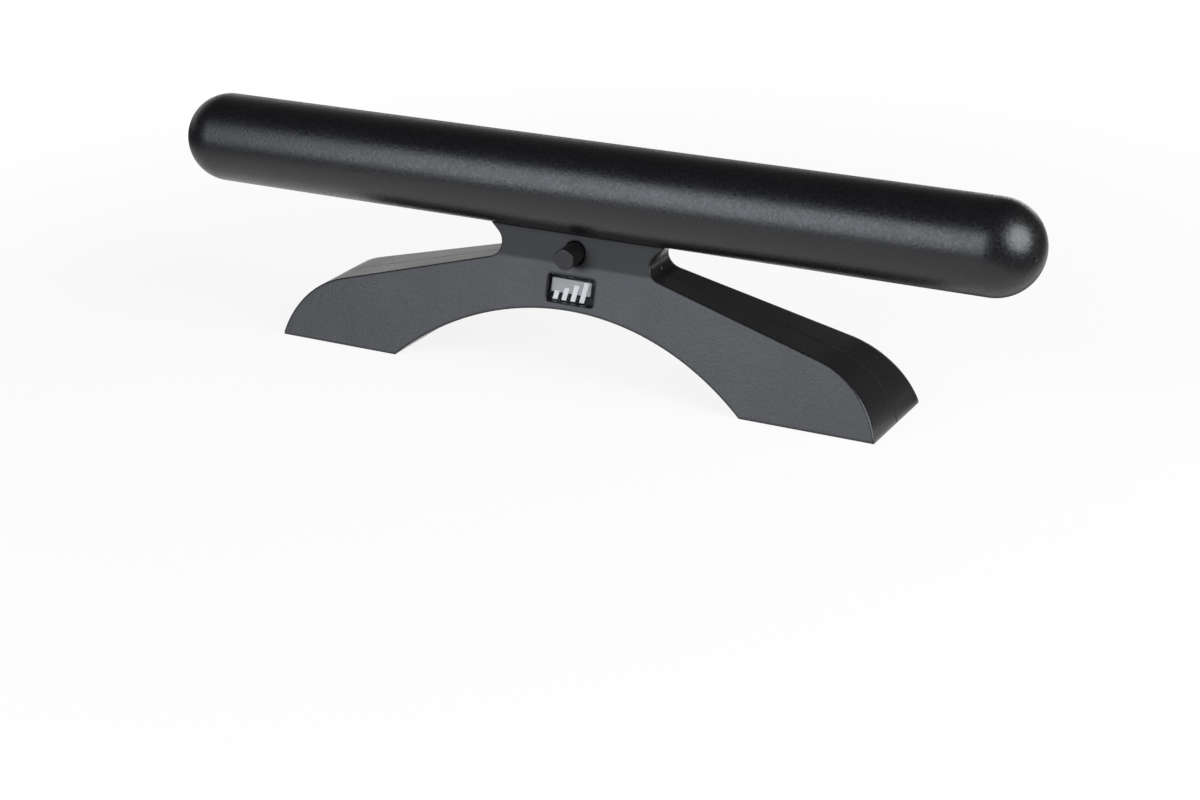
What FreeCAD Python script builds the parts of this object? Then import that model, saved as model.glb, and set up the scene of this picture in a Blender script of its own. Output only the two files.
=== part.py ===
import FreeCAD, Part
import math
import os
import re
from enum import IntEnum

import Sketcher

# Indoor television antenna: a dipole in a round radome on an arched stand of two moulded half shells.
# Millimetres. X runs along the radome, -Y is the front, +Z is up, and the feet stand on Z = 0.

SIZES = {
    # Radome tube and end caps
    "tube_diameter": 32,
    "tube_straight": 294.6,
    "tube_wall": 2,
    "spigot_length": 8,
    "spigot_wall": 1.6,
    "spigot_gap": 0.05,
    # Outline of the stand, seen from the front
    "base_width": 231.6,
    "arch_span": 135.4,
    "arch_height": 24.8,
    "leg_slope": 14.8,
    "leg_apex_drop": 2,
    "nose_radius": 31,
    "toe_height": 1.2,
    "notch_radius": 5,
    "flare_angle": 40,
    "neck_top_width": 70.8,
    # Section of the stand, seen from the side
    "base_depth": 39.3,
    "lean_angle": 15.9,
    "shell_wall": 2,
    "saddle_wall": 1.6,
    "saddle_bite": 2,
    "saddle_gap": 0.05,
    "edge_radius": 0.35,
    "parting_bevel": 0.2,
    # Window, lens and sign plate
    "window_width": 18.3,
    "window_sill": 2.3,
    "window_height": 9.3,
    "window_corner": 1,
    "window_recess": 0.9,
    "window_gap": 0.05,
    "plate_width": 22,
    "plate_lap": 1.8,
    "plate_thickness": 1,
    # Gain knob and trimmer
    "knob_diameter": 7.5,
    "knob_rise": 7.6,
    "knob_reach": 7.7,
    "knob_ease": 0.5,
    "knob_gap": 0.3,
    "trimmer_side": 6.6,
    "trimmer_depth": 3,
    "trimmer_clear": 0.55,
    "rotor_diameter": 5,
    "rotor_thickness": 1.2,
    "rotor_gap": 0.05,
    "spindle_diameter": 3,
    "spindle_length": 5,
    "spindle_fit": 0.02,
    # Amplifier board and what it carries
    "board_thickness": 1.6,
    "board_width": 44,
    "board_clear": 1.7,
    "board_lug_gap": 1.1,
    "board_tab_width": 15,
    "board_tab_clear": 0.45,
    "led_diameter": 3,
    "led_flange_diameter": 3.8,
    "led_flange": 1,
    "led_length": 5.2,
    "balun_diameter": 5.4,
    "balun_bore": 2.6,
    "balun_depth": 3,
    "balun_clear": 0.6,
    "transistor_width": 4.5,
    "transistor_height": 2.5,
    "transistor_depth": 1.5,
    "transistor_across": 9.5,
    "transistor_edge": 2.9,
    "capacitor_diameter": 5,
    "capacitor_length": 6,
    "capacitor_across": 14.6,
    "capacitor_edge": 2,
    # Coaxial socket
    "socket_edge": 0.5,
    "socket_base_side": 10,
    "socket_base_depth": 3.4,
    "socket_neck_diameter": 8.4,
    "socket_thread_diameter": 9.4,
    "socket_standoff": 2,
    "socket_thread_length": 7.3,
    "socket_bore": 6.6,
    "socket_gap": 0.4,
    "insulator_fit": 0.02,
    "insulator_recess": 0.3,
    "contact_diameter": 2.4,
    "contact_bore": 1.3,
    "contact_setback": 2,
    # Dipole, its holder and its feed
    "holder_length": 52,
    "holder_drop": 6,
    "holder_gap": 0.05,
    "stem_across": 16,
    "stem_width": 10,
    "stem_depth": 5,
    "stem_gap": 0.15,
    "lug_depth": 6.8,
    "lug_height": 2.2,
    "feed_slot_width": 14,
    "feed_slot_depth": 4,
    "strip_inset": 3.2,
    "strip_end_gap": 12.1,
    "strip_width": 20,
    "strip_thickness": 0.8,
    "spacer_gap": 9.3,
    "spacer_thickness": 6,
    "spacer_window": 12,
    "spacer_window_rise": 5,
    "strip_fit": 0.05,
    "wire_diameter": 1.2,
    "wire_across": 5.2,
    "wire_lap": 2.2,
    # Screws and their bosses
    "thread_fit": 0.03,
    "screw_diameter": 2.9,
    "screw_length": 12,
    "screw_gap": 0.2,
    "head_diameter": 5.6,
    "head_height": 2,
    "head_gap": 0.4,
    "seat_depth": 4,
    "pilot_spare": 1,
    "front_boss": 7,
    "rear_boss_wall": 1.6,
    "foot_boss_inset": 18.8,
    "foot_boss_height": 10.5,
    "shoulder_boss_across": 46,
    "shoulder_boss_height": 24.8,
    "board_boss": 5,
    "board_boss_across": 17.8,
    "board_boss_drop": 4.8,
    "small_screw_diameter": 2.2,
    "small_screw_length": 6.4,
    "small_head_diameter": 4,
    "small_head_height": 1.5,
    "strip_screw_inner": 11.5,
    "strip_screw_outer": 21,
    "small_pilot_spare": 0.6,
}

# Radii and heights that several pieces share; the heights are stacked up from the arch
TUBE_RADIUS = "(tube_diameter / 2)"
BORE_RADIUS = "(tube_diameter / 2 - tube_wall)"
ARCH_RADIUS = "(((arch_span / 2) ^ 2 + arch_height ^ 2) / (2 * arch_height))"
WINDOW_LOW = "(arch_height + window_sill)"
WINDOW_HIGH = f"({WINDOW_LOW} + window_height)"
KNOB_HEIGHT = f"({WINDOW_HIGH} + knob_rise)"
SADDLE_LOW = f"({KNOB_HEIGHT} + trimmer_side / 2 + trimmer_clear)"
TUBE_UNDERSIDE = f"({SADDLE_LOW} + saddle_wall + saddle_gap)"
TUBE_AXIS = f"({TUBE_UNDERSIDE} + {TUBE_RADIUS})"
NECK_TOP = f"({TUBE_UNDERSIDE} + saddle_bite)"
STRIP_UNDERSIDE = f"({TUBE_AXIS} - holder_drop)"
BOARD_LOW = "(arch_height + shell_wall + board_clear)"
BOARD_HIGH = f"({SADDLE_LOW} - stem_gap - lug_height - board_lug_gap)"
BOARD_TAB_HIGH = f"({SADDLE_LOW} - board_tab_clear)"
SOCKET_HEIGHT = f"({BOARD_LOW} + socket_edge + socket_base_side / 2)"
STRIP_LENGTH = "(tube_straight / 2 - strip_inset - strip_end_gap)"

# Screw places, as distance across from the middle and height
CASE_BOSSES = {
    "foot": ("base_width / 2 - foot_boss_inset", "foot_boss_height"),
    "shoulder": ("shoulder_boss_across", "shoulder_boss_height"),
}
BOARD_BOSS = ("board_boss_across", f"{BOARD_HIGH} - board_boss_drop")
STRIP_SCREWS = ("strip_screw_inner", "strip_screw_outer")
HEAD_RECESS = "(head_diameter + 2 * head_gap)"

FRONT, REAR = -1, 1
LEFT, RIGHT = -1, 1
HANDS = [("left", LEFT), ("right", RIGHT)]
TINY = 1e-4


class Spot(IntEnum):
    """Points of a sketch line or arc that a constraint can name."""
    START = 1
    END = 2
    CENTRE = 3


class Axis(IntEnum):
    """The sketch's own two axes."""
    ACROSS = -1
    UP = -2


ORIGIN = (Axis.ACROSS, Spot.START)

doc = FreeCAD.newDocument("indoor_antenna")
sheet = doc.addObject("Spreadsheet::Sheet", "Sizes")
for row, (size_name, size) in enumerate(SIZES.items(), start=1):
    sheet.set(f"A{row}", size_name)
    sheet.set(f"B{row}", str(size))
    sheet.setAlias(f"B{row}", size_name)
doc.recompute()
parts = []


def on_sheet(text):
    """The expression with each size name read from the sheet."""
    return re.sub(r"[a-z]\w*", lambda m: f"Sizes.{m[0]}" if m[0] in SIZES else m[0], text)


def value(text):
    return float(sheet.evalExpression(on_sheet(text)))


def bind(thing, sizes):
    for path, text in sizes.items():
        thing.setExpression(path, on_sheet(text))


def half_depth(height, inset="0"):
    """Distance from the parting plane to a leaning face, or to a plane set in from it, at a height."""
    return f"(base_depth / 2 - ({height}) * tan(lean_angle) - ({inset}) / cos(lean_angle))"


def signed(side, text):
    return text if side > 0 else f"-({text})"


def new_body(label, up="0", half_turn=False):
    """A body of its own; half_turn makes the left-hand copy of a piece that is drawn on the right."""
    body = doc.addObject("PartDesign::Body", label)
    if half_turn:
        body.Placement.Rotation = FreeCAD.Rotation(FreeCAD.Vector(0, 0, 1), 180)
    bind(body, {"Placement.Base.z": up})
    return body


def plane_of(body, role):
    return next(plane for plane in body.Origin.OriginFeatures if plane.Role == role)


def sketch_on(body, role, lift="0"):
    """A sketch on an origin plane, lifted along the plane's normal: -Y for XZ_Plane."""
    sketch = body.newObject("Sketcher::SketchObject", f"{body.Label}_sketch")
    sketch.AttachmentSupport = [(plane_of(body, role), "")]
    sketch.MapMode = "FlatFace"
    bind(sketch, {"AttachmentOffset.Base.z": lift})
    return sketch


def dimension(sketch, kind, text, *where):
    start = value(text)
    if kind == "Angle":
        start = math.radians(start)
    index = sketch.addConstraint(Sketcher.Constraint(kind, *where, start))
    sketch.renameConstraint(index, f"size_{index}")
    bind(sketch, {f"Constraints.size_{index}": text})


def pin(sketch, point, x, y):
    """Fix a point of the sketch at x, y."""
    for kind, text, axis in (("DistanceX", x, Axis.UP), ("DistanceY", y, Axis.ACROSS)):
        if text == "0":
            sketch.addConstraint(Sketcher.Constraint("PointOnObject", *point, axis))
        else:
            dimension(sketch, kind, text, *ORIGIN, *point)


def join(sketch, *points):
    sketch.addConstraint(Sketcher.Constraint("Coincident", *points))


def circle(sketch, x, y, diameter):
    centre = FreeCAD.Vector(value(x), value(y), 0)
    geo = sketch.addGeometry(Part.Circle(centre, FreeCAD.Vector(0, 0, 1), value(diameter) / 2))
    pin(sketch, (geo, Spot.CENTRE), x, y)
    dimension(sketch, "Diameter", diameter, geo)


def arc(centre, radius, start, end):
    """Anticlockwise arc between two points near its circle."""
    round_line = Part.Circle(centre, FreeCAD.Vector(0, 0, 1), radius)
    angles = [math.atan2(point.y - centre.y, point.x - centre.x) for point in (start, end)]
    if angles[1] <= angles[0]:
        angles[1] += 2 * math.pi
    return Part.ArcOfCircle(round_line, *angles)


def profile(sketch, corners, arcs=()):
    """Closed outline; an arc is (side, centre x, centre y, radius, turn), turn 1 for anticlockwise."""
    spots = [FreeCAD.Vector(value(x), value(y), 0) for x, y in corners]
    curved = {side: spec for side, *spec in arcs}
    sides = []
    for number, start in enumerate(spots):
        end = spots[(number + 1) % len(spots)]
        if number not in curved:
            geo = sketch.addGeometry(Part.LineSegment(start, end))
            sides.append((geo, Spot.START, Spot.END))
            continue
        x, y, radius, turn = curved[number]
        centre = FreeCAD.Vector(value(x), value(y), 0)
        ends = (start, end) if turn > 0 else (end, start)
        geo = sketch.addGeometry(arc(centre, value(radius), *ends))
        sides.append((geo, Spot.START, Spot.END) if turn > 0 else (geo, Spot.END, Spot.START))
        dimension(sketch, "Radius", radius, geo)
    for number, (geo, first, _) in enumerate(sides):
        before, _, last = sides[number - 1]
        join(sketch, before, last, geo, first)
        pin(sketch, (geo, first), *corners[number])


def rectangle(sketch, width, height, x="0", y="0"):
    """Rectangle about a centre."""
    left, right = f"{x} - ({width}) / 2", f"{x} + ({width}) / 2"
    low, high = f"{y} - ({height}) / 2", f"{y} + ({height}) / 2"
    profile(sketch, [(left, low), (right, low), (right, high), (left, high)])


def feature(body, kind, sketch, length, both, flip):
    before = body.Shape.Volume if body.Tip else 0
    step = body.newObject(f"PartDesign::{kind}", f"{body.Label}_{kind.lower()}")
    step.Profile = sketch
    step.Reversed = flip
    step.SideType = "Symmetric" if both else "One side"
    if length:
        bind(step, {"Length": length})
    else:
        step.Type = "ThroughAll"
    doc.recompute()
    grown = body.Shape.Volume - before
    if (grown > 0) != (kind == "Pad"):
        raise ValueError(f"{step.Label} changed the volume by {grown}")
    return step


def pad(body, sketch, length, both=False, flip=False):
    return feature(body, "Pad", sketch, length, both, flip)


def pocket(body, sketch, length=None, both=False, flip=False):
    """A cut against the sketch plane's normal, through everything where no length is given."""
    return feature(body, "Pocket", sketch, length, both, flip)


def revolve(body, sketch):
    """A full turn about the sketch's horizontal axis."""
    step = body.newObject("PartDesign::Revolution", f"{body.Label}_turned")
    step.Profile = sketch
    step.ReferenceAxis = (sketch, ["H_Axis"])
    step.Angle = 360
    doc.recompute()


def mirror(body, step):
    """Repeat a feature on the other side of X = 0."""
    copy = body.newObject("PartDesign::Mirrored", f"{body.Label}_mirrored")
    copy.Originals = [step]
    copy.MirrorPlane = (plane_of(body, "YZ_Plane"), [""])
    body.Tip = copy
    doc.recompute()


def dress(body, kind, size, chosen):
    """Fillet or Chamfer on the edges of the tip that pass the test."""
    base = body.Tip
    names = [f"Edge{number}" for number, edge in enumerate(base.Shape.Edges, start=1) if chosen(edge)]
    step = body.newObject(f"PartDesign::{kind}", f"{body.Label}_{kind.lower()}")
    step.Base = (base, names)
    bind(step, {"Radius" if kind == "Fillet" else "Size": size})
    doc.recompute()


def finished(thing, label):
    thing.Label = label
    parts.append(thing)


def stand_outline(body, inset, has_toe):
    """Right half of the stand's front outline, set in by inset: arch, foot, leg, notch and neck."""
    sketch = sketch_on(body, "XZ_Plane")
    vector = FreeCAD.Vector
    slope = math.radians(value("leg_slope"))
    flare = math.radians(value("flare_angle"))
    inset_now = value(inset)
    half = value("base_width / 2")
    foot = value("arch_span / 2")
    nose_full = value("nose_radius")
    nose = nose_full - inset_now
    notch = value("notch_radius") + inset_now
    apex_text = f"{TUBE_UNDERSIDE} - leg_apex_drop - ({inset}) / cos(leg_slope)"
    reach_text = f"neck_top_width / 2 - ({inset}) / sin(flare_angle)"
    apex, reach, neck_top = value(apex_text), value(reach_text), value(NECK_TOP)

    # First places of the points, from which the constraints settle the outline
    meet = (apex - neck_top + reach * math.tan(flare)) / (math.tan(slope) + math.tan(flare))
    opening = (slope + flare) / 2
    notch_reach = notch / math.sin(opening)
    notch_centre = vector(meet + notch_reach * math.cos(opening - slope),
                          apex - meet * math.tan(slope) + notch_reach * math.sin(opening - slope), 0)
    leg_inner = notch_centre + vector(-math.sin(slope), -math.cos(slope), 0) * notch
    flare_low = notch_centre + vector(-math.sin(flare), math.cos(flare), 0) * notch
    flare_high = vector(reach, neck_top, 0)
    rise = (apex - half * math.tan(slope) - value("toe_height")) * math.cos(slope) + inset_now
    below = nose_full - rise
    along = math.sqrt(nose_full ** 2 - below ** 2)
    nose_centre = vector(half - along * math.cos(slope) - below * math.sin(slope),
                         value("toe_height") + along * math.sin(slope) - below * math.cos(slope), 0)
    leg_outer = nose_centre + vector(math.sin(slope), math.cos(slope), 0) * nose
    toe = vector(half - inset_now, value("toe_height") if has_toe else inset_now, 0)
    toe_low = vector(toe.x, inset_now, 0)
    arch_centre = vector(0, value(f"arch_height - {ARCH_RADIUS}"), 0)
    arch_radius = value(ARCH_RADIUS) + inset_now
    arch_top = vector(0, arch_centre.y + arch_radius, 0)
    foot_inner = vector(foot, inset_now, 0)

    arch_line = sketch.addGeometry(arc(arch_centre, arch_radius, foot_inner, arch_top))
    sole = sketch.addGeometry(Part.LineSegment(foot_inner, toe_low))
    nose_line = sketch.addGeometry(arc(nose_centre, nose, toe, leg_outer))
    leg = sketch.addGeometry(Part.LineSegment(leg_inner, leg_outer))
    notch_line = sketch.addGeometry(arc(notch_centre, notch, flare_low, leg_inner))
    flare_line = sketch.addGeometry(Part.LineSegment(flare_low, flare_high))
    roof = sketch.addGeometry(Part.LineSegment(flare_high, vector(0, neck_top, 0)))
    middle = sketch.addGeometry(Part.LineSegment(vector(0, neck_top, 0), arch_top))

    join(sketch, middle, Spot.END, arch_line, Spot.END)
    join(sketch, arch_line, Spot.START, sole, Spot.START)
    join(sketch, flare_line, Spot.END, roof, Spot.START)
    join(sketch, roof, Spot.END, middle, Spot.START)
    for kind, line in (("Horizontal", sole), ("Horizontal", roof), ("Vertical", middle)):
        sketch.addConstraint(Sketcher.Constraint(kind, line))
    for first, first_end, second, second_end in (
        (nose_line, Spot.END, leg, Spot.END),
        (leg, Spot.START, notch_line, Spot.END),
        (notch_line, Spot.START, flare_line, Spot.START),
    ):
        sketch.addConstraint(Sketcher.Constraint("Tangent", first, first_end, second, second_end))

    sketch.addConstraint(Sketcher.Constraint("PointOnObject", arch_line, Spot.CENTRE, Axis.UP))
    dimension(sketch, "Radius", f"{ARCH_RADIUS} + ({inset})", arch_line)
    pin(sketch, (arch_line, Spot.END), "0", f"arch_height + ({inset})")
    dimension(sketch, "Radius", f"nose_radius - ({inset})", nose_line)
    dimension(sketch, "Radius", f"notch_radius + ({inset})", notch_line)
    dimension(sketch, "Angle", "-leg_slope", leg)
    dimension(sketch, "Angle", "flare_angle", flare_line)
    pin(sketch, (flare_line, Spot.END), reach_text, NECK_TOP)

    # The leg's line runs from a point over the arch, and the nose circle passes through the toe's top
    anchor = sketch.addGeometry(Part.Point(vector(0, apex, 0)), True)
    pin(sketch, (anchor, Spot.START), "0", apex_text)
    sketch.addConstraint(Sketcher.Constraint("PointOnObject", anchor, Spot.START, leg))
    if has_toe:
        toe_line = sketch.addGeometry(Part.LineSegment(toe_low, toe))
        join(sketch, sole, Spot.END, toe_line, Spot.START)
        join(sketch, toe_line, Spot.END, nose_line, Spot.START)
        pin(sketch, (toe_line, Spot.START), "base_width / 2", "0")
        pin(sketch, (toe_line, Spot.END), "base_width / 2", "toe_height")
    else:
        join(sketch, sole, Spot.END, nose_line, Spot.START)
        dimension(sketch, "DistanceY", inset, *ORIGIN, sole, Spot.START)
        corner = sketch.addGeometry(Part.Point(vector(half, value("toe_height"), 0)), True)
        pin(sketch, (corner, Spot.START), "base_width / 2", "toe_height")
        dimension(sketch, "Distance", "nose_radius", nose_line, Spot.CENTRE, corner, Spot.START)
    return sketch


def stand_wedge(body, side, inset, has_toe):
    """Half of the stand as a solid: the front outline drawn out to the leaning face."""
    step = pad(body, stand_outline(body, inset, has_toe), "base_depth / 2", flip=side == REAR)
    mirror(body, step)
    waste = sketch_on(body, "YZ_Plane")
    clear = "2 * base_depth"
    low, high = f"-({clear})", f"{NECK_TOP} + {clear}"
    profile(waste, [
        (signed(side, half_depth(low, inset)), low),
        (signed(side, f"{half_depth(low, inset)} + {clear}"), low),
        (signed(side, f"{half_depth(low, inset)} + {clear}"), high),
        (signed(side, half_depth(high, inset)), high),
    ])
    pocket(body, waste, both=True)


def saddle_cut(body, allowance):
    """Round seat for the tube across the top of the neck."""
    saddle = sketch_on(body, "YZ_Plane")
    circle(saddle, "0", TUBE_AXIS, f"tube_diameter + 2 * ({allowance})")
    pocket(body, saddle, both=True)


def shell_core(side, columns):
    """The hollow of a half shell, with a round column left out for each boss."""
    core = new_body(f"core_{'front' if side == FRONT else 'rear'}")
    stand_wedge(core, side, "shell_wall", has_toe=False)
    saddle_cut(core, "saddle_gap + saddle_wall")
    bores = sketch_on(core, "XZ_Plane")
    for (across, height), diameter in columns:
        for hand in (LEFT, RIGHT):
            circle(bores, signed(hand, across), height, diameter)
    pocket(core, bores, flip=side == FRONT)
    return core


def half_shell(label, side, columns):
    """One moulded half of the stand: leaning face, side walls, hollow, tube saddle and stem slots."""
    shell = new_body(label)
    stand_wedge(shell, side, "0", has_toe=True)

    def on_face(edge):
        return all(abs(abs(spot.Y) - value(half_depth(str(spot.Z)))) < TINY for spot in edge.Vertexes)

    def on_parting_plane(edge):
        return all(abs(spot.Y) < TINY for spot in edge.Vertexes)

    dress(shell, "Fillet", "edge_radius", on_face)
    dress(shell, "Chamfer", "parting_bevel", on_parting_plane)
    saddle_cut(shell, "saddle_gap")
    hollow = shell.newObject("PartDesign::Boolean", f"{label}_hollow")
    hollow.Type = "Cut"
    hollow.setObjects([shell_core(side, columns)])
    doc.recompute()
    neck_slots(shell, f"{TUBE_UNDERSIDE} - 2 * saddle_wall")
    return shell


def neck_slots(body, level):
    """Upward cuts for the holder's stems and the feed wires, starting at a level."""
    slots = sketch_on(body, "XY_Plane", level)
    wide, deep = "stem_width + 2 * stem_gap", "stem_depth + 2 * stem_gap"
    for hand in (LEFT, RIGHT):
        rectangle(slots, wide, deep, signed(hand, "stem_across"))
    rectangle(slots, "feed_slot_width", "feed_slot_depth")
    pocket(body, slots, "tube_diameter / 2", flip=True)


def front_shell():
    columns = [(spot, "front_boss") for spot in CASE_BOSSES.values()] + [(BOARD_BOSS, "board_boss")]
    shell = half_shell("front_shell", FRONT, columns)
    case_depth = "screw_length - seat_depth + pilot_spare"
    board_depth = "small_screw_length - board_thickness + small_pilot_spare"
    for places, diameter, depth in ((CASE_BOSSES.values(), "screw_diameter", case_depth),
                                    ([BOARD_BOSS], "small_screw_diameter", board_depth)):
        pilots = sketch_on(shell, "XZ_Plane")
        for across, height in places:
            for hand in (LEFT, RIGHT):
                circle(pilots, signed(hand, across), height, f"{diameter} + 2 * thread_fit")
        pocket(shell, pilots, depth, flip=True)
    openings = sketch_on(shell, "XZ_Plane")
    window_outline(openings)
    circle(openings, "0", KNOB_HEIGHT, "knob_diameter + 2 * knob_gap")
    pocket(shell, openings, flip=True)
    finished(shell, "front_shell")


def window_outline(sketch):
    """Rounded rectangle of the window."""
    left, right = "-window_width / 2", "window_width / 2"
    low, high, corner = WINDOW_LOW, WINDOW_HIGH, "window_corner"
    profile(sketch, [
        (f"{left} + {corner}", low), (f"{right} - {corner}", low),
        (right, f"{low} + {corner}"), (right, f"{high} - {corner}"),
        (f"{right} - {corner}", high), (f"{left} + {corner}", high),
        (left, f"{high} - {corner}"), (left, f"{low} + {corner}"),
    ], [
        (1, f"{right} - {corner}", f"{low} + {corner}", corner, 1),
        (3, f"{right} - {corner}", f"{high} - {corner}", corner, 1),
        (5, f"{left} + {corner}", f"{high} - {corner}", corner, 1),
        (7, f"{left} + {corner}", f"{low} + {corner}", corner, 1),
    ])


def rear_shell():
    boss = f"{HEAD_RECESS} + 2 * rear_boss_wall"
    shell = half_shell("rear_shell", REAR, [(spot, boss) for spot in CASE_BOSSES.values()])
    for diameter, lift in (("screw_diameter + 2 * screw_gap", "0"), (HEAD_RECESS, "-seat_depth")):
        holes = sketch_on(shell, "XZ_Plane", lift)
        for across, height in CASE_BOSSES.values():
            for hand in (LEFT, RIGHT):
                circle(holes, signed(hand, across), height, diameter)
        pocket(shell, holes)
    outlet = sketch_on(shell, "XZ_Plane")
    circle(outlet, "0", SOCKET_HEIGHT, "socket_thread_diameter + 2 * socket_gap")
    pocket(shell, outlet)
    finished(shell, "rear_shell")


def leaning_plate(body, width, low, high, outer_inset, inner_inset):
    """Plate that follows the front shell's leaning wall between two planes set in from its face."""
    side_view = sketch_on(body, "YZ_Plane")
    profile(side_view, [
        (f"-{half_depth(low, outer_inset)}", low), (f"-{half_depth(low, inner_inset)}", low),
        (f"-{half_depth(high, inner_inset)}", high), (f"-{half_depth(high, outer_inset)}", high),
    ])
    pad(body, side_view, width, both=True)


def sign_lens():
    lens = new_body("sign_lens")
    low, high = f"{WINDOW_LOW} + window_gap", f"{WINDOW_HIGH} - window_gap"
    leaning_plate(lens, "window_width - 2 * window_gap", low, high, "window_recess", "shell_wall")

    def along_depth(edge):
        first, last = (spot.Point for spot in edge.Vertexes)
        return abs(first.x - last.x) < TINY and abs(first.z - last.z) < TINY

    dress(lens, "Fillet", "window_corner - window_gap", along_depth)
    finished(lens, "sign_lens")


def sign_plate():
    plate = new_body("sign_plate")
    behind = "shell_wall + plate_thickness"
    leaning_plate(plate, "plate_width", WINDOW_LOW, f"{WINDOW_HIGH} + plate_lap", "shell_wall", behind)
    finished(plate, "sign_plate")


def radome_tube():
    tube = new_body("radome_tube", up=TUBE_AXIS)
    ring = sketch_on(tube, "YZ_Plane")
    circle(ring, "0", "0", "tube_diameter")
    circle(ring, "0", "0", f"2 * {BORE_RADIUS}")
    pad(tube, ring, "tube_straight", both=True)
    neck_slots(tube, f"-{TUBE_RADIUS} - tube_wall")
    finished(tube, "radome_tube")


def end_cap(label, hand):
    """Hemispherical cap with a spigot that fits the tube's bore."""
    cap = new_body(label, up=TUBE_AXIS, half_turn=hand == LEFT)
    bind(cap, {"Placement.Base.x": signed(hand, "tube_straight / 2")})
    section = sketch_on(cap, "XZ_Plane")
    spigot_outer = f"({BORE_RADIUS} - spigot_gap)"
    spigot_inner = f"({BORE_RADIUS} - spigot_gap - spigot_wall)"
    step_in = f"sqrt({BORE_RADIUS} ^ 2 - {spigot_inner} ^ 2)"
    profile(section, [
        (BORE_RADIUS, "0"), (TUBE_RADIUS, "0"), ("0", TUBE_RADIUS), ("0", spigot_outer),
        ("-spigot_length", spigot_outer), ("-spigot_length", spigot_inner), (step_in, spigot_inner),
    ], [(1, "0", "0", TUBE_RADIUS, 1), (6, "0", "0", BORE_RADIUS, -1)])
    revolve(cap, section)
    finished(cap, label)


def gain_knob():
    knob = new_body("gain_knob", up=KNOB_HEIGHT)
    tip = f"-({half_depth(KNOB_HEIGHT)} + knob_reach)"
    inner = "-(trimmer_depth + knob_gap)"
    bore_end = "-(trimmer_depth + spindle_length + knob_gap)"
    bore = "spindle_diameter / 2 + spindle_fit"
    section = sketch_on(knob, "YZ_Plane")
    profile(section, [
        (bore_end, "0"), (bore_end, bore), (inner, bore), (inner, "knob_diameter / 2"),
        (f"{tip} + knob_ease", "knob_diameter / 2"), (tip, "knob_diameter / 2 - knob_ease"), (tip, "0"),
    ], [(4, f"{tip} + knob_ease", "knob_diameter / 2 - knob_ease", "knob_ease", 1)])
    revolve(knob, section)
    finished(knob, "gain_knob")


def trimmer():
    """Rotary gain control on the board: recessed housing, and a rotor whose spindle drives the knob."""
    housing = new_body("trimmer_housing", up=KNOB_HEIGHT)
    outline = sketch_on(housing, "XZ_Plane")
    rectangle(outline, "trimmer_side", "trimmer_side")
    pad(housing, outline, "trimmer_depth")
    recess = sketch_on(housing, "XZ_Plane", "trimmer_depth")
    circle(recess, "0", "0", "rotor_diameter + 2 * rotor_gap")
    pocket(housing, recess, "rotor_thickness + rotor_gap")
    finished(housing, "trimmer_housing")

    rotor = new_body("trimmer_rotor", up=KNOB_HEIGHT)
    section = sketch_on(rotor, "YZ_Plane")
    front, back = "-trimmer_depth", "-(trimmer_depth - rotor_thickness)"
    spindle_end = "-(trimmer_depth + spindle_length)"
    profile(section, [
        (back, "0"), (back, "rotor_diameter / 2"), (front, "rotor_diameter / 2"),
        (front, "spindle_diameter / 2"), (spindle_end, "spindle_diameter / 2"), (spindle_end, "0"),
    ])
    revolve(rotor, section)
    finished(rotor, "trimmer_rotor")


def amplifier_board():
    """Printed board behind the parting plane, seated on the front shell's board bosses."""
    board = new_body("amplifier_board")
    outline = sketch_on(board, "XZ_Plane")
    wide, tab = "board_width / 2", "board_tab_width / 2"
    profile(outline, [
        (f"-{wide}", BOARD_LOW), (wide, BOARD_LOW), (wide, BOARD_HIGH), (tab, BOARD_HIGH),
        (tab, BOARD_TAB_HIGH), (f"-{tab}", BOARD_TAB_HIGH),
        (f"-{tab}", BOARD_HIGH), (f"-{wide}", BOARD_HIGH),
    ])
    pad(board, outline, "board_thickness", flip=True)
    holes = sketch_on(board, "XZ_Plane")
    across, height = BOARD_BOSS
    for hand in (LEFT, RIGHT):
        circle(holes, signed(hand, across), height, "small_screw_diameter + 2 * thread_fit")
    pocket(board, holes)
    finished(board, "amplifier_board")


def indicator_led():
    led = new_body("indicator_led", up=f"{WINDOW_LOW} + window_height / 2")
    section = sketch_on(led, "YZ_Plane")
    shoulder = "-(led_length - led_diameter / 2)"
    profile(section, [
        ("0", "0"), ("0", "led_flange_diameter / 2"), ("-led_flange", "led_flange_diameter / 2"),
        ("-led_flange", "led_diameter / 2"), (shoulder, "led_diameter / 2"), ("-led_length", "0"),
    ], [(4, shoulder, "0", "led_diameter / 2", 1)])
    revolve(led, section)
    finished(led, "indicator_led")


def balun_core():
    height = f"{KNOB_HEIGHT} - trimmer_side / 2 - balun_clear - balun_diameter / 2"
    core = new_body("balun_core", up=height)
    ring = sketch_on(core, "XZ_Plane")
    circle(ring, "0", "0", "balun_diameter")
    circle(ring, "0", "0", "balun_bore")
    pad(core, ring, "balun_depth")
    finished(core, "balun_core")


def group(label, members):
    """One node of separate solids."""
    cluster = doc.addObject("Part::Compound", label)
    cluster.Links = members
    finished(cluster, label)


def place(thing, x, y, z):
    bind(thing, {"Placement.Base.x": x, "Placement.Base.y": y, "Placement.Base.z": z})


def cylinder(label, diameter, length, x, y, z, turn=0):
    """Upright cylinder; a quarter turn about X lays it towards -Y (90) or +Y (-90)."""
    rod = doc.addObject("Part::Cylinder", label)
    rod.Placement.Rotation = FreeCAD.Rotation(FreeCAD.Vector(1, 0, 0), turn)
    bind(rod, {"Radius": f"({diameter}) / 2", "Height": length})
    place(rod, x, y, z)
    return rod


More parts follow.
